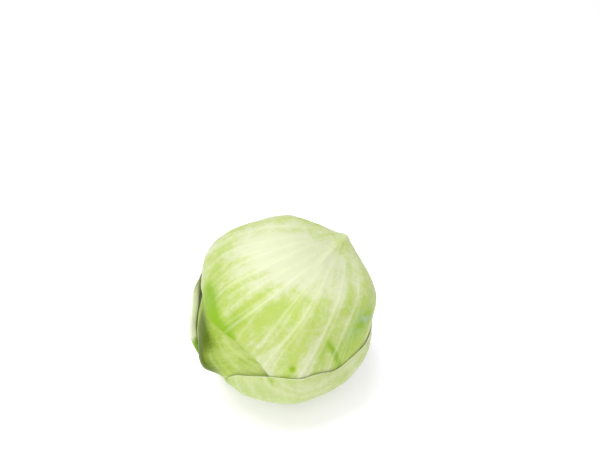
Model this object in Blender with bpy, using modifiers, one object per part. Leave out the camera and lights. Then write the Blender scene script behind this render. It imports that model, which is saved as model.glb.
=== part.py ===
"""A white cabbage head, lying on its side as picked: a tight heart, six wrapper leaves and the cut stem."""

from math import cos, degrees, hypot, pi, radians, sin, tan

import bmesh
import bpy
import numpy as np
from mathutils import Vector

# Driving dimensions, in metres and degrees. Angles on the head are measured from the stem (its polar
# angle) and round the stem from the head's upper side toward +X (its azimuth).
STEM_TILT = 12
HEAD_CENTRE = (-0.0009, 0.0028, 0.0806)

# The head's outer form: a sphere cut softly by flats, each a polar angle, an azimuth and a distance.
SPHERE_RADIUS = 0.0950
FLAT_SHARPNESS = 26
STEM_FLAT = (0, 0, 0.0770)
FLATS = (
    STEM_FLAT, (36, -3, 0.0824), (37, 73, 0.0794), (64, 105, 0.0796), (91, 122, 0.0840),
    (117, 139, 0.0830), (140, 166, 0.0836), (150, -151, 0.0861), (136, -96, 0.0901),
    (121, -79, 0.0824), (84, -56, 0.0922), (60, -39, 0.0838), (92, -94, 0.0876),
    (150, 40, 0.0863), (125, -36, 0.0891), (105, 20, 0.0866), (110, 75, 0.0862),
    (75, 30, 0.0859), (40, -110, 0.0837), (45, 160, 0.0833), (85, -125, 0.0870),
    (102, 180, 0.0908), (112, 98, 0.0886), (88, 155, 0.0886),
)

# How the leaves stack: each is a blade with veins on its outer face, clear of the next leaf out.
BLADE = 0.0009
VEIN_HEIGHT = 0.0010
LEAF_GAP = 0.0010
PITCH = BLADE + VEIN_HEIGHT + LEAF_GAP

# Beyond its margin a leaf's cover stays whole for the first arc and then falls off over the second.
COVER_MARGIN = 5
COVER_FALL = 19

# The head's weight presses the leaves level where it rests, a little apart from each other.
REST_PITCH = BLADE + 0.0018
SETTLE = 0.0014
SETTLE_FROM = 0.82
SETTLE_SPAN = 0.10

# The midrib is broad and thick at the stem and ends in the fan of veins. Widths are arcs.
MIDRIB_HEIGHT = 0.0050
MIDRIB_HALF_WIDTH = 6
MIDRIB_END_HALF_WIDTH = 2
MIDRIB_END = -4
MIDRIB_FADE = 14
MIDRIB_CLEARANCE = 1.15

# The veins leave the midrib at spaced places, the last ones close together, and bow toward the tip.
EVEN_CLIMB = 0.45
VEIN_BOW = 0.11
BASE_BOW = 0.155
BASE_BOW_SPAN = 0.15
BASE_CORNER_SPAN = 0.03
VEIN_FADE_IN = 0.12
VEIN_FADE_OUT = 0.45
POINTS_TOWARD_MIDRIB = 1.4

# Free margins are waved, and some stand off the head. Starts are shares of a vein's run.
WAVE_HEIGHT = 0.0011
WAVES_ROUND_LEAF = 13
WAVE_FROM = 0.72
CURL_FROM = 0.80
MARGIN_ROUNDING = 9
MARGIN_ROUNDING_WIDTH = 5
MARGIN_ROUNDING_SAMPLES = 13

# The stump spreads outward from the heart between the leaf bases, whose ends clasp it.
STEM_SPREAD = 12
STEM_PROUD = 0.0062
STEM_CHAMFER = 0.0012
STEM_CLEARANCE = 0.0006
STEM_STEPS = 32
PITH_DEPTH = 0.0010
PITH_RADII = (0.30, 0.45)
BASE_ANGLE = 12.7
BASE_HALF_ANGLE = 60

# The heart is wound from leaves whose edges stand in low spiral steps.
HEART_GAP = 0.0020
HEART_SUBDIVISIONS = 4
HEART_LEAVES = 3
HEART_TWIST = 0.6
HEART_STEP = 0.0012
HEART_NECK = 0.0030
HEART_NECK_FROM = 40
HEART_NECK_SPAN = 25

INNER_GREEN = (0.62, 0.74, 0.27, 1)
SHADED_GREEN = (0.47, 0.62, 0.17, 1)
MAIN_GREEN = (0.64, 0.77, 0.31, 1)
UNDER_GREEN = (0.60, 0.75, 0.34, 1)
PALE_GREEN = (0.66, 0.80, 0.42, 1)
HEART_GREEN = (0.72, 0.80, 0.42, 1)
STEM_CREAM = (0.80, 0.83, 0.55, 1)
LEAF_ROUGHNESS = 0.42
HEART_ROUGHNESS = 0.45
STEM_ROUGHNESS = 0.60

# One entry per leaf, from the innermost outward. Polar angle and azimuth place the leaf's own centre.
# Reach is the arc from that centre to the margin, at bearings from the tip (left negative). Rays and
# points are the rows and columns of its grid. Curl is the bearing, the half-span and the height of
# the stretch of margin that stands off the head.
INNER_REACH = ((-150, 66), (-90, 62), (0, 60), (90, 62), (150, 66))
LEAVES = (
    dict(name="leaf_1_right_inner", polar=85, azimuth=117, rays=49, points=12, curl=None,
         colour=INNER_GREEN, reach=INNER_REACH),
    dict(name="leaf_2_upper_inner", polar=85, azimuth=-37, rays=49, points=12, curl=None,
         colour=INNER_GREEN, reach=INNER_REACH),
    dict(name="leaf_3_left", polar=100, azimuth=-105, rays=61, points=14, curl=None,
         colour=SHADED_GREEN,
         reach=((-150, 74), (-120, 80), (-90, 78), (-60, 76), (-32, 84), (-15, 108), (4, 112),
                (23, 102), (31, 92), (42, 84), (64, 74), (90, 70), (110, 68), (130, 74), (150, 74))),
    dict(name="leaf_4_main", polar=85, azimuth=30, rays=57, points=12, curl=None,
         colour=MAIN_GREEN,
         reach=((-150, 66), (-122, 80), (-95, 94), (-67, 92), (-51, 80), (-38, 77), (-25, 72),
                (-8, 69), (5, 71), (16, 75), (26, 81), (45, 86), (90, 85), (120, 83),
                (150, 74))),
    dict(name="leaf_5_under", polar=85, azimuth=169.5, rays=57, points=12, curl=(-42, 30, 0.0010),
         colour=UNDER_GREEN,
         reach=((-154, 73), (-135, 75), (-118, 70), (-105, 80), (-97, 86), (-88, 83), (-68, 80),
                (-61, 81), (-54, 89), (-45, 91), (-38, 95), (-26, 97), (-5, 100), (9, 88),
                (17, 70), (36, 62), (76, 66), (110, 70), (150, 70))),
    dict(name="leaf_6_outer_left", polar=85, azimuth=-138, rays=57, points=11,
         curl=(41, 29, 0.0048), colour=PALE_GREEN,
         reach=((-150, 70), (-120, 72), (-76, 76), (-48, 66), (-20, 59), (5, 60), (16, 65),
                (27, 79), (39, 83), (53, 83), (64, 82), (78, 73), (99, 70), (120, 71), (145, 70))),
)


def smooth_step(value):
    held = np.clip(value, 0, 1)
    return held * held * (3 - 2 * held)


def head_direction(polar, azimuth):
    """Unit vectors in the head's frame: +Y along the stem, +Z at azimuth 0, +X at azimuth 90."""
    polar, azimuth = np.radians(polar), np.radians(azimuth)
    return np.stack([np.sin(polar) * np.sin(azimuth), np.cos(polar) + 0 * azimuth,
                     np.sin(polar) * np.cos(azimuth)], axis=-1)


def head_radius(direction):
    """The distance from the head's centre to its outer form."""
    total = np.full(direction.shape[:-1], SPHERE_RADIUS ** -FLAT_SHARPNESS)
    for polar, azimuth, distance in FLATS:
        reached = np.clip(direction @ head_direction(polar, azimuth), 0, None) / distance
        total = total + reached ** FLAT_SHARPNESS
    return total ** (-1 / FLAT_SHARPNESS)


def downward_part(direction):
    """1 straight down and 0 level, whatever the stem's tilt."""
    tilt = radians(STEM_TILT)
    return -(direction[..., 1] * sin(tilt) + direction[..., 2] * cos(tilt))


def floor_radius(direction, height):
    """The distance along the direction to a level plane this high above the ground."""
    down = downward_part(direction)
    steep_enough = 0.2
    beyond_head = 2 * SPHERE_RADIUS
    distance = (HEAD_CENTRE[2] - height) / np.maximum(down, steep_enough)
    return np.where(down > steep_enough, distance, beyond_head)


def rest_height(order):
    """How high over the ground a leaf's inner face is pressed level. The heart has order -1."""
    return BLADE + REST_PITCH * (len(LEAVES) - 1 - order)


def to_direction(leaf, across, along):
    """Leaf coordinates, in degrees of arc from its centre, to a direction on the head."""
    centre = head_direction(leaf["polar"], leaf["azimuth"])
    right = head_direction(90, leaf["azimuth"] + 90)
    tip = head_direction(leaf["polar"] + 90, leaf["azimuth"])
    arc = np.hypot(across, along)
    share = np.sin(np.radians(arc)) / np.maximum(arc, 1e-9)
    return (np.cos(np.radians(arc))[..., None] * centre + (share * across)[..., None] * right
            + (share * along)[..., None] * tip)


def to_leaf(leaf, direction):
    """The reverse of to_direction: across and along, in degrees of arc."""
    centre = head_direction(leaf["polar"], leaf["azimuth"])
    across = direction @ head_direction(90, leaf["azimuth"] + 90)
    along = direction @ head_direction(leaf["polar"] + 90, leaf["azimuth"])
    arc = np.degrees(np.arccos(np.clip(direction @ centre, -1, 1)))
    share = arc / np.maximum(np.hypot(across, along), 1e-9)
    return across * share, along * share


def base_corner(leaf):
    """The bearing and reach of the right end of the leaf's base, which clasps the stem."""
    corner = head_direction(BASE_ANGLE, leaf["azimuth"] + BASE_HALF_ANGLE)
    across, along = to_leaf(leaf, corner)
    return degrees(np.arctan2(across, along)), hypot(across, along)


def margin_reach(leaf, bearing):
    """The arc from the leaf's centre to its margin, with the corners between the points rounded."""
    corner_bearing, corner_reach = base_corner(leaf)
    points = [(-corner_bearing, corner_reach), *leaf["reach"], (corner_bearing, corner_reach)]
    given_bearings, given_reaches = zip(*points)
    offsets = np.linspace(-MARGIN_ROUNDING, MARGIN_ROUNDING, MARGIN_ROUNDING_SAMPLES)
    weights = np.exp(-(offsets / MARGIN_ROUNDING_WIDTH) ** 2)
    spread = np.interp(np.asarray(bearing)[..., None] + offsets, given_bearings, given_reaches)
    return (spread * weights).sum(-1) / weights.sum()


def midrib_relief(leaf, across, along, widening=1.0):
    """The height of the midrib over the blade."""
    start = BASE_ANGLE - leaf["polar"]
    ahead = 1 - np.clip((along - start) / (MIDRIB_END - start), 0, 1)
    narrowing = (MIDRIB_HALF_WIDTH - MIDRIB_END_HALF_WIDTH) * ahead ** 1.3
    half_width = widening * (MIDRIB_END_HALF_WIDTH + narrowing)
    height = VEIN_HEIGHT + (MIDRIB_HEIGHT - VEIN_HEIGHT) * ahead ** 1.5
    before_base = smooth_step(1 + (along - start) / BASE_ANGLE)
    past_end = smooth_step(1 - (along - MIDRIB_END) / MIDRIB_FADE)
    return height * before_base * past_end * np.exp(-(across / half_width) ** 2)


def cover(leaf, direction):
    """1 where the leaf lies, falling to 0 a little outside its margin."""
    across, along = to_leaf(leaf, direction)
    bearing = np.degrees(np.arctan2(across, along))
    outside = np.hypot(across, along) - margin_reach(leaf, bearing)
    return 1 - smooth_step((outside - COVER_MARGIN) / COVER_FALL)


def cover_by_outer(order, direction):
    """How far the leaves outside this one cover it."""
    covers = [cover(leaf, direction) for leaf in LEAVES[order + 1:]]
    return np.max(covers, axis=0) if covers else np.zeros(direction.shape[:-1])


def depth_under(order, direction):
    """How far below the head's outer form the inner face of this leaf lies.

    A midrib stands out where its leaf is bare, and is sunk where an outer leaf lies over it.
    """
    near_floor = smooth_step((downward_part(direction) - SETTLE_FROM) / SETTLE_SPAN)
    depth = SETTLE * (len(LEAVES) - 1 - order) * near_floor
    for place in range(max(order, 0), len(LEAVES)):
        leaf = LEAVES[place]
        rib = MIDRIB_CLEARANCE * midrib_relief(leaf, *to_leaf(leaf, direction), MIDRIB_CLEARANCE)
        depth = depth + cover(leaf, direction) * PITCH + cover_by_outer(place, direction) * rib
    return depth


def vein_points(leaf, ray, share):
    """Leaf coordinates of points on the veins that fan out from the midrib to the margin.

    Ray runs from -1 at the left base corner over 0 at the tip to 1 at the right. Share runs from 0 on
    the midrib to 1 on the margin.
    """
    corner_bearing, corner_reach = base_corner(leaf)
    bearing = ray * corner_bearing
    climb = 1 - np.abs(ray)
    start = BASE_ANGLE - leaf["polar"]
    midrib_share = EVEN_CLIMB * climb + (1 - EVEN_CLIMB) * climb ** 3
    midrib_along = start + (MIDRIB_END - start) * midrib_share
    reach = margin_reach(leaf, bearing)
    reach = reach + smooth_step(1 - climb / BASE_CORNER_SPAN) * (corner_reach - reach)
    run_across = reach * np.sin(np.radians(bearing))
    run_along = reach * np.cos(np.radians(bearing)) - midrib_along
    bow = VEIN_BOW + (BASE_BOW - VEIN_BOW) * smooth_step(1 - climb / BASE_BOW_SPAN)
    push = 4 * share * (1 - share) * bow * np.abs(run_across) / np.hypot(run_across, run_along)
    across = share * run_across - push * np.sign(run_across) * run_along
    along = midrib_along + share * run_along + push * np.abs(run_across)
    return across, along


def margin_lift(leaf, order, direction, ray, share, bearing):
    """How far the waved and curled margin stands off, where no outer leaf lies over it."""
    wave = 0.5 + 0.5 * np.sin(ray * pi * WAVES_ROUND_LEAF + order)
    lift = WAVE_HEIGHT * wave * smooth_step((share - WAVE_FROM) / (1 - WAVE_FROM))
    if leaf["curl"]:
        middle, half_span, height = leaf["curl"]
        stretch = smooth_step(1.5 * (1 - np.abs(bearing - middle) / half_span))
        lift = lift + height * stretch * smooth_step((share - CURL_FROM) / (1 - CURL_FROM))
    return lift * (1 - cover_by_outer(order, direction))


def leaf_faces(leaf, order, ray, share):
    """Directions of the points given by ray and share, with the radii of the inner and outer face."""
    across, along = vein_points(leaf, ray, share)
    direction = to_direction(leaf, across, along)
    bearing = np.degrees(np.arctan2(across, along))
    inner = head_radius(direction) - depth_under(order, direction)
    inner = inner + margin_lift(leaf, order, direction, ray, share, bearing)
    every_second_ray = 0.5 - 0.5 * np.cos(pi * (leaf["rays"] - 1) / 2 * (ray + 1))
    along_vein = smooth_step(share / VEIN_FADE_IN) * (1 - VEIN_FADE_OUT * share)
    vein = VEIN_HEIGHT * every_second_ray * along_vein
    outer = inner + BLADE + np.maximum(vein, midrib_relief(leaf, across, along))
    inner = np.minimum(inner, floor_radius(direction, rest_height(order)))
    outer = np.minimum(outer, floor_radius(direction, rest_height(order) - BLADE))
    return direction, inner, outer


def add_object(name, bm, colour, roughness, parent):
    mesh = bpy.data.meshes.new(name)
    bm.to_mesh(mesh)
    bm.free()
    mesh.shade_smooth()
    mesh.set_sharp_from_angle(angle=radians(50))
    material = bpy.data.materials.new(name)
    material.use_nodes = True
    shader = material.node_tree.nodes["Principled BSDF"]
    shader.inputs["Base Color"].default_value = colour
    shader.inputs["Roughness"].default_value = roughness
    shader.inputs["Metallic"].default_value = 0
    mesh.materials.append(material)
    thing = bpy.data.objects.new(name, mesh)
    thing.parent = parent
    parent.users_collection[0].objects.link(thing)
    return thing


def make_leaf(leaf, order, parent):
    """A fan of veins laid out as a grid and joined along the midrib.

    It is thickened along the head's radius, so that leaves over each other keep their distance, and
    split into triangles first, so that its two faces are split alike.
    """
    bm = bmesh.new()
    thickness = bm.verts.layers.float.new("thickness")
    bmesh.ops.create_grid(bm, x_segments=leaf["points"] - 1, y_segments=leaf["rays"] - 1, size=1)
    verts = list(bm.verts)
    share = np.array([0.5 + 0.5 * vert.co.x for vert in verts]) ** POINTS_TOWARD_MIDRIB
    ray = np.array([vert.co.y for vert in verts])
    for vert, unit, low, high in zip(verts, *leaf_faces(leaf, order, ray, share)):
        vert.co = unit * low
        vert[thickness] = high - low
    bmesh.ops.remove_doubles(bm, verts=verts, dist=1e-6)
    bmesh.ops.triangulate(bm, faces=bm.faces)
    grown = bmesh.ops.extrude_face_region(bm, geom=bm.faces[:], use_keep_orig=True)
    for item in grown["geom"]:
        if isinstance(item, bmesh.types.BMVert):
            item.co += item.co.normalized() * item[thickness]
    bmesh.ops.recalc_face_normals(bm, faces=bm.faces)
    return add_object(leaf["name"], bm, leaf["colour"], LEAF_ROUGHNESS, parent)


def heart_radius(direction):
    """Under all the leaves, lower round the stem, with the spiral steps of its own leaves."""
    polar = np.degrees(np.arccos(np.clip(direction[..., 1], -1, 1)))
    azimuth = np.degrees(np.arctan2(direction[..., 0], direction[..., 2]))
    turns = HEART_LEAVES * (azimuth + HEART_TWIST * polar) / 360
    step = HEART_STEP * (turns % 1) * np.sin(np.radians(polar))
    neck = HEART_NECK * smooth_step((HEART_NECK_FROM - polar) / HEART_NECK_SPAN)
    radius = head_radius(direction) - depth_under(-1, direction) - HEART_GAP - step - neck
    return np.minimum(radius, floor_radius(direction, rest_height(-1)))


def make_heart(parent):
    bm = bmesh.new()
    bmesh.ops.create_icosphere(bm, subdivisions=HEART_SUBDIVISIONS, radius=1)
    direction = np.array([vert.co.normalized() for vert in bm.verts])
    for vert, unit, radius in zip(bm.verts, direction, heart_radius(direction)):
        vert.co = unit * radius
    return add_object("heart", bm, HEART_GREEN, HEART_ROUGHNESS, parent)


def make_stem(parent):
    """A turned stump from the heart to a little past the leaf bases, cut square, with its soft pith."""
    near_stem = head_direction(np.linspace(0, BASE_ANGLE, 8)[:, None], np.arange(0, 360, 30))
    root = heart_radius(near_stem).max() + STEM_CLEARANCE
    bases = STEM_FLAT[2]
    end = bases + STEM_PROUD
    spread = tan(radians(STEM_SPREAD))
    widest = bases * spread
    pith, pith_rim = (share * widest for share in PITH_RADII)
    profile = [(0, end - PITH_DEPTH), (pith, end - PITH_DEPTH), (pith_rim, end),
               (widest - STEM_CHAMFER, end), (widest, end - STEM_CHAMFER), (widest, bases),
               (root * spread, root), (0, root)]
    bm = bmesh.new()
    verts = [bm.verts.new((radius, height, 0)) for radius, height in profile]
    for first, second in zip(verts, verts[1:]):
        bm.edges.new((first, second))
    stem = add_object("cut_stem", bm, STEM_CREAM, STEM_ROUGHNESS, parent)
    turn = stem.modifiers.new("turn", "SCREW")
    turn.axis = "Y"
    turn.steps = turn.render_steps = STEM_STEPS
    turn.use_merge_vertices = True
    turn.merge_threshold = 1e-5
    turn.use_normal_calculate = True
    return stem


def build():
    for thing in list(bpy.data.objects):
        bpy.data.objects.remove(thing, do_unlink=True)
    collection = bpy.data.collections.new("white_cabbage")
    bpy.context.scene.collection.children.link(collection)
    head = bpy.data.objects.new("head", None)
    head.location = Vector(HEAD_CENTRE)
    head.rotation_euler = (radians(STEM_TILT), 0, 0)
    collection.objects.link(head)
    make_heart(head)
    for order, leaf in enumerate(LEAVES):
        make_leaf(leaf, order, head)
    make_stem(head)


build()
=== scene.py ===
from math import cos, degrees, hypot, pi, radians, sin, tan

import bpy
import numpy as np
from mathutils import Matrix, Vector


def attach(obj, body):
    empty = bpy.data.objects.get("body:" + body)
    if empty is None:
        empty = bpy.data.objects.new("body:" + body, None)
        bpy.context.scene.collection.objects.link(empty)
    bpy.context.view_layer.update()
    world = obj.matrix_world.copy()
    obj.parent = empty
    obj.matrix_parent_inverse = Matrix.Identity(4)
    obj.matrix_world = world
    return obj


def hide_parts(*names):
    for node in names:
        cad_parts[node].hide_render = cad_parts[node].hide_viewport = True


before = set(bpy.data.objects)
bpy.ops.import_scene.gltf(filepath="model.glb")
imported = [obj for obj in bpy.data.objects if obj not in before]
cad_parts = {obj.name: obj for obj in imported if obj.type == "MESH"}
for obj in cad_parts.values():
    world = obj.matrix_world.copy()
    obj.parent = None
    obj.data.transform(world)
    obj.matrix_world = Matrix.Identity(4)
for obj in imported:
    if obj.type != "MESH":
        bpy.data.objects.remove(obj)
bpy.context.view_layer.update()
print("frame loaded")

# The head's outer form, as in the solids: a sphere cut softly by flats. Lengths are in metres and
# angles in degrees, measured from the stem (polar) and round it from the upper side (azimuth).
head = {
    "stemTilt": 12,
    "centre": (-0.0009, 0.0028, 0.0806),
    "sphereRadius": 0.0950,
    "flatSharpness": 26,
    "stemFlat": 0.0770,
    "steepEnough": 0.2,  # a direction points down this much before the floor cuts it
    "beyondFloor": 1.0,
    "flats": (
        (0, 0, 0.0770), (36, -3, 0.0824), (37, 73, 0.0794), (64, 105, 0.0796), (91, 122, 0.0840),
        (117, 139, 0.0830), (140, 166, 0.0836), (150, -151, 0.0861), (136, -96, 0.0901),
        (121, -79, 0.0824), (84, -56, 0.0922), (60, -39, 0.0838), (92, -94, 0.0876),
        (150, 40, 0.0863), (125, -36, 0.0891), (105, 20, 0.0866), (110, 75, 0.0862),
        (75, 30, 0.0859), (40, -110, 0.0837), (45, 160, 0.0833), (85, -125, 0.0870),
        (102, 180, 0.0908), (112, 98, 0.0886), (88, 155, 0.0886),
    ),
}

# How the leaves lie over each other, and what their midribs and margins are like.
stack = {
    "blade": 0.0009, "edgeBlade": 0.0005, "thinFrom": 0.93, "veinHeight": 0.0010, "gap": 0.0010,
    "coverMargin": 5, "coverFall": 19,
    "restPitch": 0.0027, "settle": 0.0014, "settleFrom": 0.82, "settleSpan": 0.10,
    "midribHeight": 0.0050, "midribHalfWidth": 6, "midribEndHalfWidth": 2, "midribEnd": -4,
    "midribFade": 14, "midribClearance": 1.15, "midribTaper": 1.3, "midribRise": 1.5,
    "evenClimb": 0.45, "climbPower": 3,
    "bow": 0.11, "baseBow": 0.155, "baseBowSpan": 0.15, "cornerSpan": 0.03,
    "waveHeight": 0.0008, "waves": 13, "waveFrom": 0.72, "press": 0.0013,
    "curlEase": 1.5, "curlPower": 1.3, "ripples": ((26, 0.00022), (9, 0.00010)), "rippleFrom": 0.2,
    "rounding": 9, "roundingWidth": 5, "roundingSamples": 13,
    "baseAngle": 12.7, "baseHalfAngle": 60, "pointsTowardMidrib": 1.25,
}
pitch = stack["blade"] + stack["veinHeight"] + stack["gap"]  # from one leaf to the next

innerReach = ((-150, 66), (-90, 62), (0, 60), (90, 62), (150, 66))

# The leaves from the innermost outward, each with its place, the stretch that curls off the head
# (bearing, half-span, height and where on a vein's run it begins), its margin as arcs at bearings
# from its tip, its grid, how many veins each side has, and its looks. Tints are places where it is
# greener (above 0) or paler (below 0): across, along, the radii both ways, their turn and the
# strength. Veinless and waxy places are given the same way, and so are swells, which have a height
# in metres. A clear vein has its rays at the midrib and at the margin and its strength, and a
# stray vein its two ends, its bow and its strength.
# Some tints are painted light: darker ones paint shade at the head's left and lower left edges, and
# paler ones paint a highlight or light in a shadow.
leaves = (
    {"name": "leaf_1_right_inner", "polar": 85, "azimuth": 117, "curl": None, "reach": innerReach,
     "rays": 241, "points": 34, "veins": 10, "seed": 11, "looks": "inner", "tintsAndPaintedLight": ()},
    {"name": "leaf_2_upper_inner", "polar": 85, "azimuth": -37, "curl": None, "reach": innerReach,
     "rays": 241, "points": 34, "veins": 10, "seed": 12, "looks": "inner", "tintsAndPaintedLight": ()},
    {"name": "leaf_3_left", "polar": 100, "azimuth": -105, "curl": None,
     "reach": ((-150, 74), (-120, 80), (-90, 78), (-60, 76), (-32, 84), (-15, 108), (4, 112),
               (23, 102), (31, 92), (42, 84), (64, 74), (90, 70), (110, 68), (130, 74), (150, 74)),
     "rays": 361, "points": 130, "veins": 11, "seed": 13, "looks": "shaded",
     "veinless": ((24, 82, 26, 26, 0, 1.4), (44, 58, 18, 24, 30, 1.4)),
     "strayVeins": ((44, 72, 2, 112, 3, 0.9), (38, 74, -4, 106, 2, 0.5),
                    (34, 74, -8, 102, 2, 0.8), (30, 72, -14, 94, 2, 0.45),
                    (26, 70, -18, 90, 2, 0.7), (18, 64, -24, 82, 2, 0.5),
                    (48, 76, 10, 112, 4, 0.6)),
     # Painted shade: the tints above 0 darken the leaf beside the flap and at its lower left edge.
     # Painted light: the tint below 0 lightens it where it lies in shadow by the lower lip.
     "tintsAndPaintedLight": ((33, 59, 7, 13, 30, 0.9), (42, 46, 8, 12, 35, 0.4), (30, 64, 16, 22, 30, 0.35),
               (9, 66, 3, 18, 72, 1.0), (12, 66, 11, 10, 0, 0.6), (6, 73, 8, 9, 0, 0.4),
               (4, 98, 8, 8, 0, -0.7)),
     "swells": ((8, 64, 9, 15, 27, 0.0036),)},
    {"name": "leaf_4_main", "polar": 85, "azimuth": 30, "curl": None,
     "reach": ((-150, 66), (-122, 80), (-95, 94), (-67, 92), (-51, 80), (-38, 77), (-25, 72),
               (-8, 69), (5, 71), (16, 75), (26, 81), (45, 86), (90, 85), (120, 83), (150, 74)),
     "rays": 561, "points": 76, "veins": 12, "seed": 14, "looks": "main",
     "clearVeins": ((-0.52, -0.56, 0.9), (-0.37, -0.43, 0.8), (-0.32, -0.36, 0.6),
                    (-0.30, -0.29, 0.8), (-0.28, -0.22, 0.9), (-0.18, -0.16, 0.6),
                    (-0.08, -0.10, 1.0), (0.08, 0.01, 0.7), (0.20, 0.08, 1.0), (0.33, 0.20, 1.0),
                    (0.45, 0.30, 0.9), (0.60, 0.45, 0.8)),
     "veinless": ((-55, 48, 8, 14, -57, 0.85), (-42, 58, 7, 12, -62, 0.85),
                  (-27, 65, 6, 11, -72, 0.8)),
     # Partly the leaf's own deeper green and partly painted shade: the first four tints, in the
     # crease along the left margin. Painted highlight: the paler tints at (-23, 12) and (-4, 6).
     "tintsAndPaintedLight": ((-54, 50, 8, 12, -57, 0.9), (-42, 59, 7, 11, -62, 1.0), (-28, 65, 5.5, 10, -72, 1.0),
               (-15, 69, 3.5, 10, -79, 0.8), (-38, 46, 16, 13, 30, 0.35), (-50, 28, 9, 13, 0, 0.4),
               (50, 22, 13, 16, 0, 0.65), (42, 0, 6, 16, 0, 0.75), (3, -10, 9, 11, 0, -0.4),
               (28, 7, 9, 14, 0, 0.55), (46, 30, 1.5, 11, 87, 1.1), (57, 31, 3, 4, 0, 0.7),
               (31, 57, 2.6, 2.2, 0, 1.1), (-23, 12, 22, 15, 0, -1.0), (-4, 6, 20, 14, 0, -0.6),
               (-20, 45, 20, 12, 0, 0.15), (0, 37, 16, 13, 0, 0.25), (10, 52, 22, 14, 0, 0.3),
               (37, 35, 4, 13, -37, 0.5), (-18, 58, 6, 8, 0, 0.5)),
     "waxy": ((41, -3, 6, 17, -4, 0.9),)},
    {"name": "leaf_5_under", "polar": 85, "azimuth": 169.5, "curl": (-42, 30, 0.0002, 0.80),
     "reach": ((-154, 73), (-135, 75), (-118, 70), (-105, 80), (-97, 86), (-88, 83), (-68, 80),
               (-61, 81), (-54, 89), (-45, 91), (-38, 95), (-26, 97), (-5, 100), (9, 88),
               (17, 70), (36, 62), (76, 66), (110, 70), (150, 70)),
     "rays": 561, "points": 70, "veins": 12, "seed": 15, "looks": "under",
     "veinless": ((-62, 48, 15, 52, -25, 1.4),),
     "strayVeins": ((-48, 84, -70, 36, 2, 0.8), (-44, 80, -64, 34, 2, 0.5),
                    (-57, 72, -77, 20, 2, 0.7), (-65, 54, -83, 2, 2, 0.8),
                    (-60, 56, -76, 10, 1, 0.5), (-72, 40, -86, -8, 2, 0.6),
                    (-36, 92, -54, 62, 2, 0.6)),
     # Painted shade: the second tint darkens the lower left edge.
     "tintsAndPaintedLight": ((-43, 84, 2.0, 2.0, 0, 0.8), (6, 92, 12, 6, 0, 0.8))},
    {"name": "leaf_6_outer_left", "polar": 85, "azimuth": -138, "curl": (41, 29, 0.0052, 0.945),
     "reach": ((-150, 70), (-120, 72), (-76, 76), (-48, 66), (-20, 59), (5, 60), (16, 65),
               (27, 79), (39, 83), (53, 83), (64, 82), (78, 73), (99, 70), (120, 71), (145, 70)),
     "rays": 561, "points": 70, "veins": 11, "seed": 16, "looks": "under",
     # Partly its own green and partly painted shade: the darker lower end of the curled margin.
     "tintsAndPaintedLight": ((35, 68, 5, 6, 0, 0.8), (24, 68, 9, 8, 0, 1.2))},
)


def smoothStep(value):
    held = np.clip(value, 0, 1)
    return held * held * (3 - 2 * held)


def headDirection(polar, azimuth):
    polar, azimuth = np.radians(polar), np.radians(azimuth)
    return np.stack([np.sin(polar) * np.sin(azimuth), np.cos(polar) + 0 * azimuth,
                     np.sin(polar) * np.cos(azimuth)], axis=-1)


def headRadius(direction):
    power = head["flatSharpness"]
    total = np.full(direction.shape[:-1], head["sphereRadius"] ** -power)
    for polar, azimuth, distance in head["flats"]:
        reached = np.clip(direction @ headDirection(polar, azimuth), 0, None) / distance
        total = total + reached ** power
    return total ** (-1 / power)


def toWorld(points):
    # the head's own frame has +Y along the stem and +Z on its upper side
    tilt = radians(head["stemTilt"])
    turned = np.array([[1, 0, 0], [0, cos(tilt), sin(tilt)], [0, -sin(tilt), cos(tilt)]])
    return points @ turned + np.array(head["centre"])


def downwardPart(direction):
    tilt = radians(head["stemTilt"])
    return -(direction[..., 1] * sin(tilt) + direction[..., 2] * cos(tilt))


def floorRadius(direction, height):
    down = downwardPart(direction)
    distance = (head["centre"][2] - height) / np.maximum(down, head["steepEnough"])
    return np.where(down > head["steepEnough"], distance, head["beyondFloor"])


def restHeight(order):
    return stack["blade"] + stack["restPitch"] * (len(leaves) - 1 - order)


def toDirection(leaf, across, along):
    centre = headDirection(leaf["polar"], leaf["azimuth"])
    right = headDirection(90, leaf["azimuth"] + 90)
    tip = headDirection(leaf["polar"] + 90, leaf["azimuth"])
    arc = np.hypot(across, along)
    share = np.sin(np.radians(arc)) / np.maximum(arc, 1e-9)
    return (np.cos(np.radians(arc))[..., None] * centre + (share * across)[..., None] * right
            + (share * along)[..., None] * tip)


def toLeaf(leaf, direction):
    centre = headDirection(leaf["polar"], leaf["azimuth"])
    across = direction @ headDirection(90, leaf["azimuth"] + 90)
    along = direction @ headDirection(leaf["polar"] + 90, leaf["azimuth"])
    arc = np.degrees(np.arccos(np.clip(direction @ centre, -1, 1)))
    share = arc / np.maximum(np.hypot(across, along), 1e-9)
    return across * share, along * share


def baseCorner(leaf):
    corner = headDirection(stack["baseAngle"], leaf["azimuth"] + stack["baseHalfAngle"])
    across, along = toLeaf(leaf, corner)
    return degrees(np.arctan2(across, along)), hypot(across, along)


def marginReach(leaf, bearing):
    cornerBearing, cornerReach = baseCorner(leaf)
    points = [(-cornerBearing, cornerReach), *leaf["reach"], (cornerBearing, cornerReach)]
    bearings, reaches = zip(*points)
    offsets = np.linspace(-stack["rounding"], stack["rounding"], stack["roundingSamples"])
    weights = np.exp(-(offsets / stack["roundingWidth"]) ** 2)
    spread = np.interp(np.asarray(bearing)[..., None] + offsets, bearings, reaches)
    return (spread * weights).sum(-1) / weights.sum()


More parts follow.
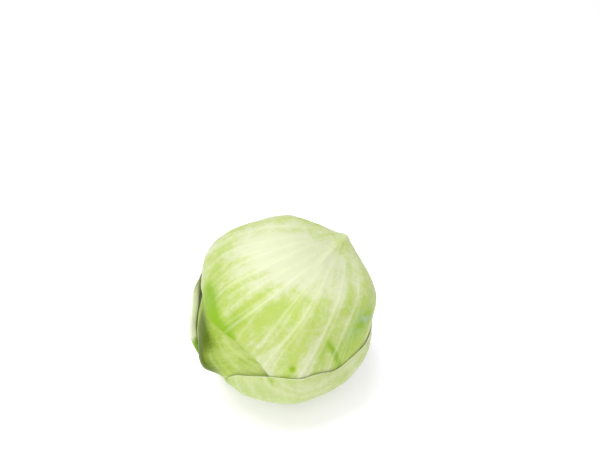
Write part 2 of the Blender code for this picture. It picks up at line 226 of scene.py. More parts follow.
def midribRelief(leaf, across, along, widening=1.0):
    start = stack["baseAngle"] - leaf["polar"]
    end = stack["midribEnd"]
    ahead = 1 - np.clip((along - start) / (end - start), 0, 1)
    thick, thin = stack["midribHalfWidth"], stack["midribEndHalfWidth"]
    halfWidth = widening * (thin + (thick - thin) * ahead ** stack["midribTaper"])
    highest, lowest = stack["midribHeight"], stack["veinHeight"]
    height = lowest + (highest - lowest) * ahead ** stack["midribRise"]
    beforeBase = smoothStep(1 + (along - start) / stack["baseAngle"])
    pastEnd = smoothStep(1 - (along - end) / stack["midribFade"])
    return height * beforeBase * pastEnd * np.exp(-(across / halfWidth) ** 2)


def cover(leaf, direction):
    across, along = toLeaf(leaf, direction)
    bearing = np.degrees(np.arctan2(across, along))
    outside = np.hypot(across, along) - marginReach(leaf, bearing)
    return 1 - smoothStep((outside - stack["coverMargin"]) / stack["coverFall"])


def coverOutside(covers, order):
    outer = [covers[place] for place in covers if place > order]
    return np.max(outer, axis=0) if outer else 0


def depthUnder(covers, order, direction):
    nearFloor = smoothStep((downwardPart(direction) - stack["settleFrom"]) / stack["settleSpan"])
    depth = stack["settle"] * (len(leaves) - 1 - order) * nearFloor
    for place in range(max(order, 0), len(leaves)):
        leaf = leaves[place]
        clear = stack["midribClearance"]
        rib = clear * midribRelief(leaf, *toLeaf(leaf, direction), clear)
        depth = depth + covers[place] * pitch + coverOutside(covers, place) * rib
    return depth


def veinPoints(leaf, ray, share):
    # ray runs from -1 at the left base corner over 0 at the tip to 1, share from midrib to margin
    cornerBearing, cornerReach = baseCorner(leaf)
    bearing = ray * cornerBearing
    climb = 1 - np.abs(ray)
    start = stack["baseAngle"] - leaf["polar"]
    even = stack["evenClimb"]
    climbed = even * climb + (1 - even) * climb ** stack["climbPower"]
    midribAlong = start + (stack["midribEnd"] - start) * climbed
    reach = marginReach(leaf, bearing)
    reach = reach + smoothStep(1 - climb / stack["cornerSpan"]) * (cornerReach - reach)
    runAcross = reach * np.sin(np.radians(bearing))
    runAlong = reach * np.cos(np.radians(bearing)) - midribAlong
    nearBase = smoothStep(1 - climb / stack["baseBowSpan"])
    bow = stack["bow"] + (stack["baseBow"] - stack["bow"]) * nearBase
    push = 4 * share * (1 - share) * bow * np.abs(runAcross) / np.hypot(runAcross, runAlong)
    across = share * runAcross - push * np.sign(runAcross) * runAlong
    along = midribAlong + share * runAlong + push * np.abs(runAcross)
    return across, along


def ripples(direction, size, seed):
    # smooth seeded unevenness of about 1, with waves of about this size in degrees of arc
    rng = np.random.default_rng(seed)
    count, sizes = 16, (0.7, 1.4)
    ways = rng.normal(size=(count, 3))
    ways /= np.linalg.norm(ways, axis=1)[:, None]
    ways *= 360 / size * rng.uniform(*sizes, (count, 1))
    phases = rng.uniform(0, 2 * pi, count)
    return np.sin(direction @ ways.T + phases).sum(-1) / (count / 2) ** 0.5


# The veins that leave the midrib, in metres and in shares of their run or of the space between
# them. A fork has where it leaves its vein, how far to the side it ends and its strength.
veinLooks = {
    "jitter": 0.25, "endJitter": 0.12, "lastRay": 0.985, "room": 0.6, "strengths": (0.45, 0.8),
    "forks": ((0.34, 0.42, 0.6), (0.55, -0.38, 0.5)), "forkSwing": (0.7, 1.3),
    "forkBegins": (0.75, 1.25),
    "widthAtMidrib": 0.00170, "widthAtMargin": 0.00125, "weakestWidth": 0.55, "haloWidth": 3.2,
    "height": 0.00032, "fadeIn": 0.50, "fade": 0.35, "begin": 0.06, "sweep": 1.6,
    "wander": 0.007, "wanderTurns": 9, "wanderPhase": 40, "radius": 0.085,
    "strayWidth": 1.3, "strayFadeIn": 0.15, "strayFadeOut": 0.25,
}


def veinLines(leaf):
    # each has the rays that it leaves and ends at, where on the run it begins, and its strength
    rng = np.random.default_rng(leaf["seed"])
    spacing = 1 / leaf["veins"]
    room = veinLooks["room"] * spacing
    mains = list(leaf.get("clearVeins", ()))
    for side in (-1, 1):
        for place in range(leaf["veins"]):
            ray = side * spacing * (place + 0.5 + veinLooks["jitter"] * rng.uniform(-1, 1))
            clear = all(abs(ray - other[1]) > room for other in mains)
            if abs(ray) < veinLooks["lastRay"] and clear:
                last = ray + spacing * veinLooks["endJitter"] * rng.uniform(-1, 1)
                mains.append((ray, last, rng.uniform(*veinLooks["strengths"])))
    lines = []
    for first, last, strength in mains:
        lines.append((first, last, 0.0, strength))
        for share, swing, weaker in veinLooks["forks"]:
            aside = np.sign(last) * spacing * swing * rng.uniform(*veinLooks["forkSwing"])
            begins = share * rng.uniform(*veinLooks["forkBegins"])
            there = first + (last - first) * begins
            lines.append((there, last + aside, begins, weaker * strength))
    return lines


def veinMasks(leaf, ray, share, place):
    # how much each point lies on a vein, sharp and soft; place is its spot in metres
    alongRay = np.gradient(place, ray[:, 0], axis=0)
    alongShare = np.gradient(place, share[0], axis=1)
    length = np.linalg.norm(alongShare, axis=-1) + 1e-9
    metresPerRay = np.linalg.norm(np.cross(alongRay, alongShare), axis=-1) / length
    widest, narrowest = veinLooks["widthAtMidrib"], veinLooks["widthAtMargin"]
    widths = widest + share * (narrowest - widest)
    weakest = veinLooks["weakestWidth"]
    sharp, soft = np.zeros(ray.shape), np.zeros(ray.shape)
    for first, last, begins, strength in veinLines(leaf):
        gone = np.clip((share - begins) / (1 - begins), 0, 1)
        phase = veinLooks["wanderTurns"] * share + veinLooks["wanderPhase"] * last
        wander = veinLooks["wander"] * np.sin(phase) * gone
        centre = first + (last - first) * (1 - (1 - gone) ** veinLooks["sweep"]) + wander
        away = np.abs(ray - centre) * metresPerRay
        here = strength * smoothStep((share - begins) / veinLooks["begin"] + (begins == 0))
        width = widths * (weakest + (1 - weakest) * strength)
        sharp = np.maximum(sharp, here * np.exp(-(away / width) ** 2))
        soft = np.maximum(soft, here * np.exp(-(away / (width * veinLooks["haloWidth"])) ** 2))
    return sharp, soft


def strayVeins(leaf, across, along):
    # veins that cross the fan, each from one spot to another with a bow between
    sharp, soft = np.zeros(across.shape), np.zeros(across.shape)
    width = degrees(veinLooks["widthAtMargin"] / head["sphereRadius"]) * veinLooks["strayWidth"]
    for x, y, endX, endY, bow, strength in leaf.get("strayVeins", ()):
        length = hypot(endX - x, endY - y)
        unitX, unitY = (endX - x) / length, (endY - y) / length
        run = ((across - x) * unitX + (along - y) * unitY) / length
        aside = (along - y) * unitX - (across - x) * unitY - 4 * bow * run * (1 - run)
        here = strength * smoothStep(run / veinLooks["strayFadeIn"])
        here = here * smoothStep((1 - run) / veinLooks["strayFadeOut"])
        sharp = np.maximum(sharp, here * np.exp(-(aside / width) ** 2))
        soft = np.maximum(soft, here * np.exp(-(aside / (width * veinLooks["haloWidth"])) ** 2))
    return sharp, soft


def spotsAt(spots, across, along):
    total = np.zeros(across.shape)
    for x, y, wide, tall, turn, strength in spots:
        dx, dy = across - x, along - y
        turned = radians(turn)
        u, v = dx * cos(turned) + dy * sin(turned), dy * cos(turned) - dx * sin(turned)
        total = total + strength * np.exp(-(u / wide) ** 2 - (v / tall) ** 2)
    return total


sharpAngle = 50  # edges steeper than this stay sharp


def addPiece(name, vertices, faces, attributes, material, node):
    mesh = bpy.data.meshes.new(name)
    mesh.from_pydata(vertices.tolist(), [], faces)
    for label, values in attributes.items():
        kind, field = ("FLOAT", "value") if values.ndim == 1 else ("FLOAT_VECTOR", "vector")
        layer = mesh.attributes.new(label, kind, "POINT")
        layer.data.foreach_set(field, values.astype(np.float32).ravel())
    mesh.shade_smooth()
    mesh.set_sharp_from_angle(angle=radians(sharpAngle))
    mesh.materials.append(material)
    piece = bpy.data.objects.new(name, mesh)
    bpy.context.scene.collection.objects.link(piece)
    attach(piece, "root")
    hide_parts(node)


def plug(node, sockets):
    for name, value in sockets.items():
        if isinstance(value, Wire):
            value.tree.links.new(value.socket, node.inputs[name])
        else:
            node.inputs[name].default_value = value


class Wire:
    # an output of a shader node, so that sums of values read as Python
    def __init__(self, tree, socket=None):
        self.tree = tree
        self.socket = socket

    def node(self, kind, settings=None, sockets=None, output=0):
        made = self.tree.nodes.new("ShaderNode" + kind)
        for name, value in (settings or {}).items():
            setattr(made, name, value)
        plug(made, sockets or {})
        return Wire(self.tree, made.outputs[output])

    def math(self, operation, first, second):
        return self.node("Math", {"operation": operation}, {0: first, 1: second})

    def __add__(self, other):
        return self.math("ADD", self, other)

    def __sub__(self, other):
        return self.math("SUBTRACT", self, other)

    def __rsub__(self, other):
        return self.math("SUBTRACT", other, self)

    def __mul__(self, other):
        return self.math("MULTIPLY", self, other)

    __radd__ = __add__
    __rmul__ = __mul__

    def attribute(self, name, output=2):
        return self.node("Attribute", {"attribute_name": name}, None, output)

    def between(self, low, high):
        # 0 below low, 1 above high and smooth between
        return self.node("MapRange", {"interpolation_type": "SMOOTHSTEP"},
                         {0: self, 1: low, 2: high})

    def mixed(self, factor, first, second):
        return self.node("Mix", {"data_type": "RGBA"}, {0: factor, 6: first, 7: second}, 2)

    def scaled(self, vector, by):
        return self.node("VectorMath", {"operation": "MULTIPLY"}, {0: vector, 1: by})

    def noise(self, at, scale, detail, roughness):
        return self.node("TexNoise", None, {"Vector": at, "Scale": scale, "Detail": detail,
                                            "Roughness": roughness})

    def bump(self, relief, strength, height):
        return self.node("Bump", None, {"Height": relief, "Strength": strength,
                                        "Distance": height})


def newMaterial(name):
    material = bpy.data.materials.new(name)
    material.use_nodes = True
    shader = material.node_tree.nodes["Principled BSDF"]
    return material, shader, Wire(material.node_tree)


# Leaf colours, the share of green over pale before the unevenness, and the gloss.
leafLooks = {
    "main": {"pale": (0.58, 0.62, 0.40, 1), "green": (0.40, 0.51, 0.10, 1),
             "deepGreenAndShade": (0.22, 0.39, 0.005, 1), "vein": (0.69, 0.71, 0.49, 1),
             "greenShare": 0.52, "gloss": 0.5, "slot": "outer_leaf"},
    "under": {"pale": (0.49, 0.56, 0.27, 1), "green": (0.36, 0.48, 0.11, 1),
              "deepGreenAndShade": (0.22, 0.40, 0.03, 1), "vein": (0.60, 0.64, 0.43, 1),
              "greenShare": 0.40, "gloss": 0.3, "slot": "outer_leaf"},
    # Darker colours that paint the shade this leaf lies in; its deep colour is painted olive shade.
    "shaded": {"pale": (0.45, 0.55, 0.17, 1), "green": (0.29, 0.41, 0.05, 1),
               "deepGreenAndShade": (0.08, 0.13, 0.00, 1), "vein": (0.50, 0.57, 0.22, 1),
               "greenShare": 0.50, "gloss": 0.2, "slot": "shaded_leaf"},
    "inner": {"pale": (0.60, 0.64, 0.30, 1), "green": (0.44, 0.55, 0.13, 1),
              "deepGreenAndShade": (0.24, 0.42, 0.04, 1), "vein": (0.70, 0.72, 0.46, 1),
              "greenShare": 0.45, "gloss": 0.3, "slot": "inner_leaf"},
}
# Noises have a scale, a detail and a roughness. Ranges are where a mark begins and is full.
leafSkin = {
    "bloom": (0.35, 0.49, 0.35, 1), "bare": (0.72, 0.74, 0.48, 1),
    # The inner face's pale colour, made near white so that it also paints light on the shaded
    # inside of the curled margin.
    "inside": (0.98, 0.97, 0.90, 1),
    "placeScale": 0.015, "fanSeed": 0.37,  # what the marks are laid out on
    "patchNoise": (3.2, 3, 0.6), "blotchNoise": (9, 3, 0.6), "speckNoise": (42, 4, 0.6),
    "streakNoise": (1, 2, 0.55), "streaksOverFan": (19, 1.7, 1), "bloomNoise": (6.5, 4, 0.7),
    "netScale": 17, "netBend": 0.035, "netBendScale": 14, "netLine": 0.16,
    "patches": 1.4, "streaks": 1.3, "blotches": 1.2, "specks": 0.45,  # how strong the marks are
    "cells": 0.16, "cellsMiddle": 0.6, "halo": 0.30, "greenRange": (-0.2, 1.1),
    "deepPatches": 0.6, "deepSpecks": 0.5, "deepRange": (0.25, 1.15),
    "bloomShare": 0.12, "bloomRange": (0.50, 0.80), "waxyRange": (0.40, 0.68),
    "veinShare": 0.5, "insideInDeep": 0.9,
    "bareShare": 0.85, "barePower": 1.5, "bareAlong": 30, "bareAcross": 40,  # the leaf's base
    "bareRib": (0.0010, 0.0024),
    "roughness": 0.40, "roughSpecks": 0.16, "roughBloom": 0.10, "ior": 1.3,
    "subsurface": 0.45, "subsurfaceRadius": (0.9, 1.0, 0.4), "subsurfaceScale": 0.003,
    "bumpCells": 0.5, "bumpSpecks": 0.25, "bumpStrength": 0.35, "bumpHeight": 0.00025,
}


def leafMaterial(name, looks):
    material, shader, wire = newMaterial(name)
    skin = leafSkin
    place = wire.attribute("place", 1)  # across and along the leaf
    fan = wire.attribute("fan", 1)  # ray and share
    vein = wire.attribute("vein")
    halo = wire.attribute("halo")
    tintAndPaintedLight = wire.attribute("tintAndPaintedLight")
    waxy = wire.attribute("waxy")
    bare = wire.attribute("bare")  # the midrib and the leaf's base
    inside = wire.attribute("inside")
    patches = wire.noise(place, *skin["patchNoise"])
    blotches = wire.noise(place, *skin["blotchNoise"])
    streaks = wire.noise(wire.scaled(fan, skin["streaksOverFan"]), *skin["streakNoise"])
    specks = wire.noise(place, *skin["speckNoise"])
    # a net of the finest veins, pale lines round small green cells
    push = wire.node("TexNoise", None, {"Vector": place, "Scale": skin["netBendScale"]}, 1)
    bent = wire.node("Mix", {"data_type": "VECTOR"}, {0: skin["netBend"], 4: place, 5: push}, 1)
    net = wire.node("TexVoronoi", {"feature": "DISTANCE_TO_EDGE"},
                    {"Vector": wire.scaled(bent, (1, 1, 0)), "Scale": skin["netScale"]})
    cells = net.between(0.0, skin["netLine"])
    # Tints pull toward green or pale, so they carry the painted highlight and part of the painted
    # shade.
    green = looks["greenShare"] + (patches - 0.5) * skin["patches"]
    green = green + (streaks - 0.5) * skin["streaks"] + (blotches - 0.5) * skin["blotches"] + tintAndPaintedLight
    green = green + skin["cells"] * (cells - skin["cellsMiddle"]) + skin["specks"] * (specks - 0.5)
    green = green - skin["halo"] * halo
    colour = wire.mixed(green.between(*skin["greenRange"]), looks["pale"], looks["green"])
    # Deep colour where the tints and noise are strong: deep green, and painted shade where the
    # tints paint shade.
    deepGreenAndShadeShare = tintAndPaintedLight + (patches - 0.5) * skin["deepPatches"] + (specks - 0.5) * skin["deepSpecks"]
    deepGreenAndShadeShare = deepGreenAndShadeShare.between(*skin["deepRange"])
    colour = wire.mixed(deepGreenAndShadeShare, colour, looks["deepGreenAndShade"])
    bloom = wire.noise(place, *skin["bloomNoise"]).between(*skin["bloomRange"])
    bloom = bloom * (1 - deepGreenAndShadeShare) * skin["bloomShare"]
    bloom = bloom + waxy * blotches.between(*skin["waxyRange"])
    colour = wire.mixed(bloom, colour, skin["bloom"])
    colour = wire.mixed(skin["veinShare"] * vein, colour, looks["vein"])
    colour = wire.mixed(bare, colour, skin["bare"])
    # The inner face, near white: its own paler colour and painted light; less of it in painted
    # shade.
    colour = wire.mixed(inside * (1 - skin["insideInDeep"] * deepGreenAndShadeShare), colour, skin["inside"])
    roughness = skin["roughness"] + skin["roughSpecks"] * (specks - 0.5)
    roughness = roughness + skin["roughBloom"] * bloom
    relief = cells * skin["bumpCells"] + specks * skin["bumpSpecks"]
    plug(shader, {"Base Color": colour, "Roughness": roughness,
                  "Normal": wire.bump(relief, skin["bumpStrength"], skin["bumpHeight"]),
                  "Subsurface Weight": skin["subsurface"],
                  "Subsurface Radius": skin["subsurfaceRadius"],
                  "Subsurface Scale": skin["subsurfaceScale"],
                  "Specular IOR Level": looks["gloss"], "IOR": skin["ior"]})
    return material


def makeLeaf(leaf, order):
    # a fan of veins laid out as a grid, welded along the midrib, with an inner and an outer face
    rays, points = leaf["rays"], leaf["points"]
    share = np.linspace(0, 1, points) ** stack["pointsTowardMidrib"]
    ray, share = np.meshgrid(np.linspace(-1, 1, rays), share, indexing="ij")
    across, along = veinPoints(leaf, ray, share)
    direction = toDirection(leaf, across, along)
    bearing = np.degrees(np.arctan2(across, along))
    covers = {place: cover(other, direction) for place, other in enumerate(leaves)
              if place >= order}
    free = 1 - coverOutside(covers, order)
    wave = 0.5 + 0.5 * np.sin(ray * pi * stack["waves"] + order)
    fromMargin = smoothStep((share - stack["waveFrom"]) / (1 - stack["waveFrom"]))
    lift = (stack["waveHeight"] * wave - stack["press"]) * fromMargin
    if leaf["curl"]:
        middle, halfSpan, height, begins = leaf["curl"]
        stretch = smoothStep(stack["curlEase"] * (1 - np.abs(bearing - middle) / halfSpan))
        curled = np.clip((share - begins) / (1 - begins), 0, 1) ** stack["curlPower"]
        lift = lift + height * stretch * curled
    lift = lift + spotsAt(leaf.get("swells", ()), across, along)
    fromMidrib = smoothStep(share / stack["rippleFrom"])
    for extra, (size, height) in enumerate(stack["ripples"]):
        lift = lift + height * ripples(direction, size, leaf["seed"] + extra) * fromMidrib
    inner = headRadius(direction) - depthUnder(covers, order, direction) + lift * free
    sharp, soft = veinMasks(leaf, ray, share, direction * veinLooks["radius"])
    fade = smoothStep(share / veinLooks["fadeIn"]) * (1 - veinLooks["fade"] * share)
    plain = np.clip(1 - spotsAt(leaf.get("veinless", ()), across, along), 0, 1)
    straySharp, straySoft = strayVeins(leaf, across, along)
    sharp = np.maximum(sharp * fade * plain, straySharp)
    soft = np.maximum(soft * fade * plain, straySoft)
    rib = midribRelief(leaf, across, along)
    thinned = smoothStep((share - stack["thinFrom"]) / (1 - stack["thinFrom"]))
    blade = stack["blade"] - thinned * (stack["blade"] - stack["edgeBlade"])
    outer = inner + blade + np.maximum(veinLooks["height"] * sharp, rib)
    inner = np.minimum(inner, floorRadius(direction, restHeight(order)))
    outer = np.minimum(outer, floorRadius(direction, restHeight(order) - stack["blade"]))

    # the two halves meet in one row of points on the midrib
    index = np.arange(rays * points).reshape(rays, points)
    middle = rays // 2
    index[middle + 1:, 0] = index[:middle, 0][::-1]
    kept, index = np.unique(index, return_inverse=True)
    index = index.reshape(rays, points)
    count = len(kept)
    outside = np.stack([index[:-1, :-1], index[:-1, 1:], index[1:, 1:], index[1:, :-1]], axis=-1)
    outside = outside.reshape(-1, 4)
    rim = np.concatenate([index[:, -1], index[-1, -2::-1], index[0, 1:]])
    after = np.roll(rim, -1)
    wall = np.stack([rim, after, after + count, rim + count], axis=-1)
    wall = wall[rim != after]
    faces = np.concatenate([outside + count, outside[:, ::-1], wall]).tolist()

    start = stack["baseAngle"] - leaf["polar"]
    nearBase = smoothStep(1 - (along - start) / leafSkin["bareAlong"])
    nearBase = nearBase * smoothStep(1 - np.abs(across) / leafSkin["bareAcross"])
    ribFrom, ribSpan = leafSkin["bareRib"]
    bare = leafSkin["bareShare"] * nearBase ** leafSkin["barePower"]
    bare = np.clip(bare + smoothStep((rib - ribFrom) / ribSpan), 0, 1)
    # Greener and paler places, which also hold painted shade and a painted highlight.
    tintAndPaintedLight = spotsAt(leaf["tintsAndPaintedLight"], across, along)
    waxy = spotsAt(leaf.get("waxy", ()), across, along)
    seeds = np.full(across.shape, leaf["seed"])
    place = np.stack([across, along, seeds], axis=-1) * leafSkin["placeScale"]
    fan = np.stack([ray, share, seeds * leafSkin["fanSeed"]], axis=-1)
    inside = np.concatenate([np.ones(count), np.zeros(count)])

    def both(values):
        flat = values.reshape(-1, *values.shape[2:])[kept]
        return np.concatenate([flat, flat])

    low = (direction * inner[..., None]).reshape(-1, 3)[kept]
    high = (direction * outer[..., None]).reshape(-1, 3)[kept]
    attributes = {"vein": both(sharp), "halo": both(soft), "tintAndPaintedLight": both(tintAndPaintedLight),
                  "waxy": both(waxy), "bare": both(bare), "place": both(place),
                  "fan": both(fan), "inside": inside}
    looks = leafLooks[leaf["looks"]]
    material = leafMaterial(leaf["name"] + "_skin", looks)
    addPiece(leaf["name"] + "_fine", toWorld(np.concatenate([low, high])), faces, attributes,
             material, leaf["name"])


for order, leaf in enumerate(leaves):
    makeLeaf(leaf, order)
    print("made", leaf["name"])

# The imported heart: seen only between the leaf bases.
heart = {
    "gap": 0.0020, "leaves": 3, "twist": 0.6, "step": 0.0012, "neck": 0.0030, "neckFrom": 40,
    "neckSpan": 25, "fineness": 6,
    "pale": (0.86, 0.87, 0.58, 1), "green": (0.66, 0.76, 0.30, 1), "greenShare": 0.35,
    "polarScale": 57, "streaksOverTurn": (1, 0.12, 1), "streakNoise": (40, 4, 0.6),
    "patchNoise": (30, 3, 0.5), "streaks": 1.6, "patches": 1.2,
    "roughness": 0.42, "roughPatches": 0.1, "gloss": 0.4, "bumpStrength": 0.3, "bumpHeight": 0.0004,
}


def heartRadius(direction):
    polar = np.degrees(np.arccos(np.clip(direction[..., 1], -1, 1)))
    azimuth = np.degrees(np.arctan2(direction[..., 0], direction[..., 2]))
    turns = heart["leaves"] * (azimuth + heart["twist"] * polar) / 360
    step = heart["step"] * (turns % 1) * np.sin(np.radians(polar))
    neck = heart["neck"] * smoothStep((heart["neckFrom"] - polar) / heart["neckSpan"])
    covers = {place: cover(other, direction) for place, other in enumerate(leaves)}
    radius = headRadius(direction) - depthUnder(covers, -1, direction) - heart["gap"] - step - neck
    return np.minimum(radius, floorRadius(direction, restHeight(-1)))


def heartMaterial():
    material, shader, wire = newMaterial("heart_skin")
    spot = wire.node("NewGeometry")
    turn = wire.scaled(wire.attribute("turn", 1), heart["streaksOverTurn"])
    streaks = wire.noise(turn, *heart["streakNoise"])
    patches = wire.noise(spot, *heart["patchNoise"])
    green = (streaks - 0.5) * heart["streaks"] + (patches - 0.5) * heart["patches"]
    green = green + heart["greenShare"]
    colour = wire.mixed(green.between(0, 1), heart["pale"], heart["green"])
    roughness = heart["roughness"] + heart["roughPatches"] * (patches - 0.5)
    plug(shader, {"Base Color": colour, "Roughness": roughness,
                  "Normal": wire.bump(streaks, heart["bumpStrength"], heart["bumpHeight"]),
                  "Specular IOR Level": heart["gloss"]})
    return material


def makeHeart():
    bpy.ops.mesh.primitive_ico_sphere_add(subdivisions=heart["fineness"], radius=1)
    ball = bpy.context.object
    direction = np.array([vert.co.normalized() for vert in ball.data.vertices])
    faces = [list(face.vertices) for face in ball.data.polygons]
    bpy.data.objects.remove(ball)
    polar = np.degrees(np.arccos(np.clip(direction[:, 1], -1, 1))) / heart["polarScale"]
    azimuth = np.arctan2(direction[:, 0], direction[:, 2])
    turn = np.stack([np.cos(azimuth), polar, np.sin(azimuth)], axis=-1)
    vertices = toWorld(direction * heartRadius(direction)[:, None])
    addPiece("heart_fine", vertices, faces, {"turn": turn}, heartMaterial(), "heart")


makeHeart()
print("made heart")

# The stump, cut square, with a spongy pith, a ring of fibres and a drying rim.
stem = {
    "spread": 12, "proud": 0.0062, "clearance": 0.0006, "chamfer": 0.0012, "pithDepth": 0.0010,
    "pithRadii": (0.30, 0.45), "steps": 192, "profileStep": 0.0007,
    "rippleRadius": 0.02, "rippleSeed": 31, "cutRipples": ((40, 0.00018), (12, 0.00008)),
    "cutDepth": 0.0016, "cutBlend": 0.0006, "sideRipples": 60, "sideShare": 0.012, "sideFrom": 0.9,
    "flesh": (0.86, 0.87, 0.62, 1), "pith": (0.90, 0.90, 0.72, 1), "pithRange": (0.30, 0.48),
    "ring": (0.66, 0.72, 0.40, 1), "ringShare": 0.65, "ringBegins": (0.60, 0.70),
    "ringEnds": (0.74, 0.84), "dry": (0.62, 0.52, 0.28, 1), "dryRange": (0.86, 1.02),
    "dryShare": 0.55, "dryGrainRange": (0.62, 0.8), "dryGrain": 0.25,
    "grainNoise": (900, 4, 0.7), "patchNoise": (120, 3, 0.6), "waver": 0.12,
    "roughness": 0.55, "roughGrain": 0.2, "gloss": 0.35, "bumpStrength": 0.5, "bumpHeight": 0.0004,
}


def stemMaterial():
    material, shader, wire = newMaterial("cut_stem_skin")
    spot = wire.attribute("spot", 1)
    outward = wire.attribute("outward")  # 0 at the middle of the cut, 1 at its rim
    grain = wire.noise(spot, *stem["grainNoise"])
    patches = wire.noise(spot, *stem["patchNoise"])
    wavy = outward + (patches - 0.5) * stem["waver"]
    colour = wire.mixed(wavy.between(*stem["pithRange"]), stem["pith"], stem["flesh"])
    ring = wavy.between(*stem["ringBegins"]) * (1 - wavy.between(*stem["ringEnds"]))
    colour = wire.mixed(stem["ringShare"] * ring, colour, stem["ring"])
    dry = wavy.between(*stem["dryRange"]) * stem["dryShare"]
    dry = dry + grain.between(*stem["dryGrainRange"]) * stem["dryGrain"]
    colour = wire.mixed(dry, colour, stem["dry"])
    roughness = stem["roughness"] + stem["roughGrain"] * (grain - 0.5)
    plug(shader, {"Base Color": colour, "Roughness": roughness,
                  "Normal": wire.bump(grain + patches, stem["bumpStrength"], stem["bumpHeight"]),
                  "Specular IOR Level": stem["gloss"]})
    return material


def makeStem():
    nearStem = headDirection(np.linspace(0, stack["baseAngle"], 8)[:, None], np.arange(0, 360, 30))
    root = heartRadius(nearStem).max() + stem["clearance"]
    bases = head["stemFlat"]
    end = bases + stem["proud"]
    spread = tan(radians(stem["spread"]))
    widest = bases * spread
    pith, pithRim = (share * widest for share in stem["pithRadii"])
    corners = [(0, end - stem["pithDepth"]), (pith, end - stem["pithDepth"]), (pithRim, end),
               (widest - stem["chamfer"], end), (widest, end - stem["chamfer"]), (widest, bases),
               (root * spread, root), (0, root)]
    # more points on the profile, so that the cut and the side can be uneven
    radii, heights = [], []
    for (firstR, firstH), (lastR, lastH) in zip(corners, corners[1:]):
        pieces = max(1, round(hypot(lastR - firstR, lastH - firstH) / stem["profileStep"]))
        for part in range(pieces):
            radii.append(firstR + (lastR - firstR) * part / pieces)
            heights.append(firstH + (lastH - firstH) * part / pieces)
    radii, heights = np.array(radii[1:]), np.array(heights[1:])
    angle = np.linspace(0, 2 * pi, stem["steps"], endpoint=False)[:, None]
    shape = np.stack([radii * np.cos(angle), heights + 0 * angle, radii * np.sin(angle)], axis=-1)
    way, seed = shape / stem["rippleRadius"], stem["rippleSeed"]
    onCut = smoothStep((heights - end + stem["cutDepth"]) / stem["cutBlend"])
    for size, height in stem["cutRipples"]:
        shape[..., 1] += height * ripples(way, size, seed) * onCut
        seed += 1
    onSide = radii > widest * stem["sideFrom"]
    side = 1 - stem["sideShare"] * (1 + ripples(way, stem["sideRipples"], seed)) * onSide
    shape[..., 0] *= side
    shape[..., 2] *= side
    steps, rows = shape.shape[:2]
    index = np.arange(steps * rows).reshape(steps, rows)
    after = np.roll(index, -1, axis=0)
    quads = np.stack([index[:, :-1], after[:, :-1], after[:, 1:], index[:, 1:]], axis=-1)
    top, bottom = steps * rows, steps * rows + 1
    faces = quads.reshape(-1, 4).tolist()
    faces += [[top, a, b] for a, b in zip(after[:, 0].tolist(), index[:, 0].tolist())]
    faces += [[bottom, a, b] for a, b in zip(index[:, -1].tolist(), after[:, -1].tolist())]
    points = np.concatenate([shape.reshape(-1, 3), [[0, corners[0][1], 0], [0, root, 0]]])
    outward = np.hypot(points[:, 0], points[:, 2]) / widest
    addPiece("cut_stem_fine", toWorld(points), faces, {"outward": outward, "spot": points},
             stemMaterial(), "cut_stem")


makeStem()
print("made stem")

# A pale floor, a large soft lamp overhead, a weaker one beside the camera and pale surroundings.
studio = {
    "floorSize": 24, "floor": (0.94, 0.92, 0.965, 1), "marks": (0.90, 0.90, 0.91, 1),
    "marksShare": 0.02, "marksNoise": (6, 2, 0.5), "roughness": 0.9, "gloss": 0.1,
    "glow": (0.88, 0.84, 1, 1), "glowStrength": 0.28,
    "surroundings": (1.0, 1.0, 1.0, 1), "surroundingsStrength": 0.64,
    # each lamp's name, place, size in metres and power
    "lamps": (("overhead", (-0.14, -0.34, 1.40), 0.9, 12), ("front", (0.50, -1.05, 0.85), 0.9, 6)),
}


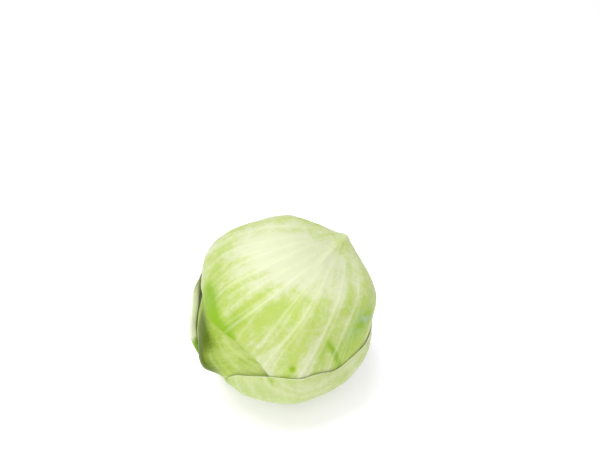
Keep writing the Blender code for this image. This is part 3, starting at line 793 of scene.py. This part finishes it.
def makeStudio():
    bpy.ops.mesh.primitive_plane_add(size=studio["floorSize"])
    floor = bpy.context.object
    floor.name = "floor"
    material, shader, wire = newMaterial("pale_floor")
    marks = wire.noise(wire.node("NewGeometry"), *studio["marksNoise"]) * studio["marksShare"]
    colour = wire.mixed(marks, studio["floor"], studio["marks"])
    plug(shader, {"Base Color": colour, "Roughness": studio["roughness"],
                  "Specular IOR Level": studio["gloss"], "Emission Color": studio["glow"],
                  "Emission Strength": studio["glowStrength"]})
    floor.data.materials.append(material)
    middle = Vector(head["centre"])
    for name, place, size, power in studio["lamps"]:
        lamp = bpy.data.lights.new(name, "AREA")
        lamp.shape = "DISK"
        lamp.size = size
        lamp.energy = power
        holder = bpy.data.objects.new(name, lamp)
        holder.location = place
        holder.rotation_euler = (middle - Vector(place)).to_track_quat("-Z", "Y").to_euler()
        bpy.context.scene.collection.objects.link(holder)
    world = bpy.data.worlds.new("surroundings")
    world.use_nodes = True
    background = world.node_tree.nodes["Background"]
    background.inputs["Color"].default_value = studio["surroundings"]
    background.inputs["Strength"].default_value = studio["surroundingsStrength"]
    bpy.context.scene.world = world
    bpy.context.scene.view_settings.view_transform = "Standard"


makeStudio()
print("made studio")

# The camera stands where the photograph was taken from, and looks past the head to frame it so.
camera = {"azimuth": 35.5, "elevation": 38, "distance": 0.9, "lens": 59.73, "sensor": 36,
          "target": (-0.0016, 0.0027, 0.0806), "imageSize": (600, 450), "targetPixel": (285, 309)}


def makeCamera():
    around, up = radians(camera["azimuth"]), radians(camera["elevation"])
    back = Vector((sin(around) * cos(up), -cos(around) * cos(up), sin(up)))
    right = Vector((cos(around), sin(around), 0))
    above = back.cross(right)
    target = Vector(camera["target"])
    metresPerPixel = camera["distance"] * camera["sensor"] / camera["lens"] / camera["imageSize"][0]
    wide, tall = camera["imageSize"]
    pixelX, pixelY = camera["targetPixel"]
    aim = target + right * (wide / 2 - pixelX) * metresPerPixel
    aim = aim + above * (pixelY - tall / 2) * metresPerPixel
    data = bpy.data.cameras.new("camera")
    data.lens = camera["lens"]
    data.sensor_width = camera["sensor"]
    holder = bpy.data.objects.new("camera", data)
    holder.location = target + back * camera["distance"]
    holder.rotation_euler = (aim - holder.location).to_track_quat("-Z", "Y").to_euler()
    bpy.context.scene.collection.objects.link(holder)
    bpy.context.scene.camera = holder


makeCamera()
print("made camera")
